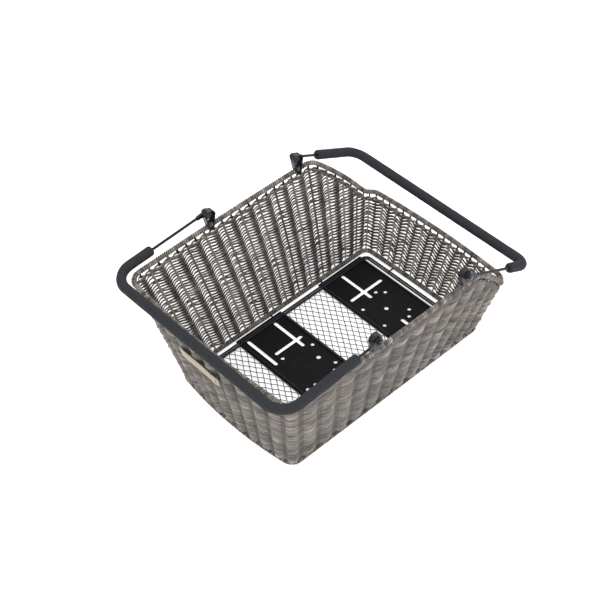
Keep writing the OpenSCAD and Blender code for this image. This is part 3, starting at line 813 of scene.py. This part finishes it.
def foam_grip(key):
    """Foam tube with rounded ends, a short bore at each end, and faint wrinkles inside both bends."""
    spec = HANDLES[key]
    path = grip_path(spec)
    steps = np.linalg.norm(np.diff(path, axis=0), axis=1)
    run = np.concatenate([[0], np.cumsum(steps)])
    nose = GRIP_NOSE * (1 - np.cos(np.radians(np.linspace(0, 90, GRIP_NOSE_RINGS))))
    first = run[0] + nose
    last = run[-1] - first[::-1] + run[0]
    at = np.concatenate([first, run[(run > first[-1] + 1) & (run < last[0] - 1)], last])
    line = np.stack([np.interp(at, run, path[:, c]) for c in (0, 1)], 1)
    heading = np.gradient(line, axis=0)
    heading /= np.linalg.norm(heading, axis=1)[:, None]
    side = np.column_stack([heading[:, 1], -heading[:, 0]])
    to_end = np.clip(np.minimum(at - at[0], at[-1] - at) / GRIP_NOSE, 0, 1)
    rounding = np.sqrt(np.clip(1 - (1 - to_end) ** 2, 0, 1))
    inset = BEND_MIDDLE * spec["bend"]
    middles = [[spec["reach"] - inset, sign * (ARM_Y - inset)] for sign in (1, -1)]
    bends_at = [at[np.argmin(np.linalg.norm(line - middle, axis=1))] for middle in middles]
    crease = sum(np.exp(-((at - bend_at) / CREASE_REACH) ** 2) for bend_at in bends_at)
    radius = (GRIP_R - GRIP_ROUNDING) + GRIP_ROUNDING * rounding
    radius = radius + GRIP_WAVE * np.sin(at / GRIP_WAVE_LENGTH) - CREASE_DEPTH * crease
    angle = np.arange(GRIP_SIDES) * 2 * math.pi / GRIP_SIDES
    wrinkle = (CREASE_DEPTH * crease * np.cos(at / WRINKLE_LENGTH))[:, None]
    r = radius[:, None] + wrinkle * np.clip(-np.cos(angle), 0, 1)[None, :]
    cross = line[:, None, :] + side[:, None, :] * (r * np.cos(angle)[None, :])[:, :, None]
    local = np.concatenate([cross, (r * np.sin(angle)[None, :])[:, :, None]], 2)
    bore_r = HANDLE_WIRE_R + BORE_PLAY
    for end, inwards in ((0, 1), (-1, -1)):
        hole = line[end][None, :] + side[end][None, :] * (bore_r * np.cos(angle))[:, None]
        ring = np.concatenate([hole, (bore_r * np.sin(angle))[:, None]], 1)[None]
        inside = ring.copy()
        inside[:, :, :2] += heading[end] * BORE_DEPTH * inwards
        parts = [inside, ring, local] if end == 0 else [local, ring, inside]
        local = np.concatenate(parts, 0)
    drop = math.radians(spec["drop"])
    x = local[:, :, 0]
    lift = local[:, :, 2]
    points = np.stack([
        spec["x"] + spec["sign"] * (x * math.cos(drop) + lift * math.sin(drop)),
        RIM["y"] + local[:, :, 1],
        PIVOT_Z - x * math.sin(drop) + lift * math.cos(drop),
    ], 2)
    faces = ring_quads(len(points), GRIP_SIDES, False)
    new_piece(
        f"foam_grip_{key}", points.reshape(-1, 3), faces, MATERIALS["foam_grip"],
        f"handle_{key}", (f"handle_{key}_grip",)
    )


# ---------------------------------------------------------------- blank name strip
STRIP_COLS = 64
STRIP_ROWS = 12
STRIP_OUT = 7.6
STRIP_WAVE = 0.5
STRIP_WAVE_TURNS = 9
STRIP_T = 1.5
STRIP_TAPER = 0.12
STRIP_CORNER_COLS = 2.0
STRIP_CORNER_CUT = 0.16
STRIP_EDGE = 0.4
WALL_SAMPLES = 400
WALL_OUT = 6.0


def blank_strip():
    """Thin curved cream strip with a small slot near one end, on the front wall."""
    low, high = (np.array(c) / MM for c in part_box("name_strip"))
    cols, rows = STRIP_COLS, STRIP_ROWS
    y = np.linspace(high[1], low[1], cols + 1)
    mid_z = (low[2] + high[2]) / 2
    v = np.linspace(SIDE_START[2], SIDE_START[3], WALL_SAMPLES)
    outline = plan_points(v, height_share(mid_z), WALL_OUT)
    u = np.interp(-y, -outline[:, 1], v)
    taper = 1 - STRIP_TAPER * np.linspace(0, 1, cols + 1) ** 2
    to_end = np.minimum(np.arange(cols + 1), cols - np.arange(cols + 1))
    corner = 1 - STRIP_CORNER_CUT + STRIP_CORNER_CUT * np.sqrt(np.clip(to_end / STRIP_CORNER_COLS, 0, 1))
    half = (high[2] - low[2]) / 2 * taper * corner
    z = mid_z + half[:, None] * np.linspace(-1, 1, rows + 1)[None, :]
    stations = np.repeat(u, rows + 1)
    puff = STRIP_OUT + STRIP_WAVE * np.sin(np.linspace(0, STRIP_WAVE_TURNS, cols + 1))
    plan = plan_points(stations, height_share(z.ravel()), np.repeat(puff, rows + 1))
    points = np.column_stack([plan, z.ravel()])
    slot_cols = range(cols - 6, cols - 4)
    slot_rows = range(rows // 2 - 2, rows // 2 + 2)
    faces = []
    for i in range(cols):
        for j in range(rows):
            if not (i in slot_cols and j in slot_rows):
                here, there = i * (rows + 1) + j, (i + 1) * (rows + 1) + j
                faces.append([here, there, there + 1, here + 1])
    strip = new_piece("blank_strip", points, faces, MATERIALS["strip"], "basket", ("name_strip",))
    solid = strip.modifiers.new("thickness", "SOLIDIFY")
    solid.thickness = STRIP_T * MM
    solid.offset = 0
    soft = strip.modifiers.new("soft_edges", "BEVEL")
    soft.width = STRIP_EDGE * MM
    soft.segments = 2


# ---------------------------------------------------------------- floor, lights and camera
CAMERA_TARGET = (-61.4, 61.7, 80.0)
CAMERA_DISTANCE = 2654.6
CAMERA_AZIMUTH = -40.3
CAMERA_ELEVATION = 46.1
CAMERA_ROLL = -3.3
FOCAL_SHARE = 1517.1 / 605
SENSOR = 36.0
FLOOR_HALF_M = 12.0
FLOOR_GLOW = 0.42
SKY_STRENGTH = 0.55
LIGHT_TARGET_M = (-0.05, 0.02, 0.1)
LIGHTS = {
    "key": dict(place=(-1.6, -1.2, 2.6), size=1.6, power=60),
    "fill": dict(place=(1.8, -1.6, 1.6), size=2.0, power=22),
    "back": dict(place=(0.9, 2.2, 2.2), size=2.0, power=30),
}


def camera():
    a, e, r = (math.radians(d) for d in (CAMERA_AZIMUTH, CAMERA_ELEVATION, CAMERA_ROLL))
    back = Vector((math.sin(a) * math.cos(e), -math.cos(a) * math.cos(e), math.sin(e)))
    level = Vector((math.cos(a), math.sin(a), 0))
    above = back.cross(level)
    right = math.cos(r) * level + math.sin(r) * above
    up = -math.sin(r) * level + math.cos(r) * above
    data = bpy.data.cameras.new("camera")
    data.sensor_width = SENSOR
    data.lens = SENSOR * FOCAL_SHARE
    data.clip_end = 50
    obj = bpy.data.objects.new("camera", data)
    bpy.context.scene.collection.objects.link(obj)
    place = (Vector(CAMERA_TARGET) + back * CAMERA_DISTANCE) * MM
    obj.matrix_world = Matrix.Translation(place) @ Matrix((right, up, back)).transposed().to_4x4()
    bpy.context.scene.camera = obj


def area_light(name, place, size, power):
    data = bpy.data.lights.new(name, "AREA")
    data.size = size
    data.energy = power
    obj = bpy.data.objects.new(name, data)
    bpy.context.scene.collection.objects.link(obj)
    obj.location = place
    obj.rotation_euler = (Vector(LIGHT_TARGET_M) - Vector(place)).to_track_quat("-Z", "Y").to_euler()


def studio():
    """Pale floor that glows a little, an even white sky and three soft lights."""
    mesh = bpy.data.meshes.new("floor")
    half = FLOOR_HALF_M
    outline = [(-half, -half, 0), (half, -half, 0), (half, half, 0), (-half, half, 0)]
    mesh.from_pydata(outline, [], [(0, 1, 2, 3)])
    floor = bpy.data.objects.new("floor", mesh)
    bpy.context.scene.collection.objects.link(floor)
    mat, _, _, shader = material("pale_floor", (0.95, 0.95, 0.95), 0.9)
    shader.inputs["Emission Color"].default_value = (1, 1, 1, 1)
    shader.inputs["Emission Strength"].default_value = FLOOR_GLOW
    mesh.materials.append(mat)
    world = bpy.data.worlds.new("studio")
    world.use_nodes = True
    sky = world.node_tree.nodes["Background"]
    sky.inputs["Color"].default_value = (1, 1, 1, 1)
    sky.inputs["Strength"].default_value = SKY_STRENGTH
    bpy.context.scene.world = world
    for name, light in LIGHTS.items():
        area_light(name, **light)
    bpy.context.scene.view_settings.view_transform = "Standard"


camera()
paint_cad_nodes()
weave_walls()
stake_rods()
twined_strands()
wound_strip("rim_winding", "rim_wrap", rim_at, RIM_WRAP_R, turn_mm=4.4, seed=5, shade=1.1)
wound_strip("base_winding", "base_ring_wrap", base_at, BASE_WRAP_R, turn_mm=4.6, seed=6, shade=0.7)
mesh_panel("mesh_front", "floor_mesh_front", seed=11)
mesh_panel("mesh_middle", "floor_mesh_middle", seed=12)
foam_grip("front")
foam_grip("rear")
blank_strip()
studio()
